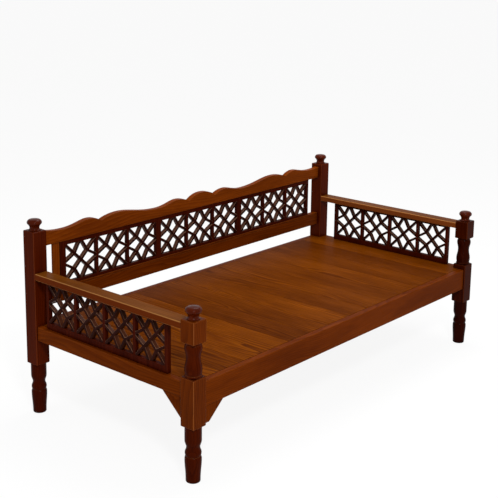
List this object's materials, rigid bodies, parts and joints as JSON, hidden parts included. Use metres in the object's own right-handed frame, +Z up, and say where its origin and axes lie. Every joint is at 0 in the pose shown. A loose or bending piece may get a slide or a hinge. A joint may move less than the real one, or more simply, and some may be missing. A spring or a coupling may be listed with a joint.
{
  "type": "daybed",
  "caption": "Persian takht: a wooden daybed with a plank seat, turned legs and knobs, low lattice arms and a lattice back under a scalloped crest rail.",
  "frame": {"origin": "On the floor, at the centre of the plan between the four posts.", "axes": "+X along the seat to the right as seen from the front, +Y to the back with the lattice, +Z up."},
  "size_m": [2.07, 1, 0.87],
  "materials": {
    "frame_wood": "stained red-brown and varnished",
    "lattice_wood": "stained dark brown and varnished",
    "seat_wood": "stained orange-brown pine, glossy varnish",
    "inner_wood": "thin stain, planed",
    "screw_steel": "plain zinc-plated"
  },
  "bodies": {
    "root": {"post_front_left": "frame_wood", "post_front_right": "frame_wood", "post_back_left": "frame_wood", "post_back_right": "frame_wood", "finial_front_left": "frame_wood", "finial_front_right": "frame_wood", "finial_back_left": "frame_wood", "finial_back_right": "frame_wood", "front_rail": "frame_wood", "back_rail": "frame_wood", "side_rail_left": "frame_wood", "side_rail_right": "frame_wood", "crest_rail": "frame_wood", "back_bottom_rail": "frame_wood", "back_slat": "frame_wood", "arm_rail_left": "frame_wood", "arm_rail_right": "frame_wood", "bracket_front": "frame_wood", "bracket_side": "frame_wood", "back_frame_left": "lattice_wood", "back_lattice_left": "lattice_wood", "back_frame_middle": "lattice_wood", "back_lattice_middle": "lattice_wood", "back_frame_right": "lattice_wood", "back_lattice_right": "lattice_wood", "arm_frame_left": "lattice_wood", "arm_lattice_left": "lattice_wood", "arm_frame_right": "lattice_wood", "arm_lattice_right": "lattice_wood", "plank_01": "seat_wood", "plank_02": "seat_wood", "plank_03": "seat_wood", "plank_04": "seat_wood", "plank_05": "seat_wood", "plank_06": "seat_wood", "plank_07": "seat_wood", "plank_08": "seat_wood", "plank_09": "seat_wood", "plank_10": "seat_wood", "plank_11": "seat_wood", "plank_12": "seat_wood", "plank_13": "seat_wood", "plank_14": "seat_wood", "bearer_front": "inner_wood", "bearer_back": "inner_wood", "joist_left": "inner_wood", "joist_middle": "inner_wood", "joist_right": "inner_wood", "ledger_front": "inner_wood", "ledger_back": "inner_wood", "tenon_pegs": "inner_wood", "lattice_dowels": "inner_wood", "ledger_screws": "screw_steel", "plank_screws": "screw_steel", "bracket_screws": "screw_steel"}
  },
  "joints": []
}
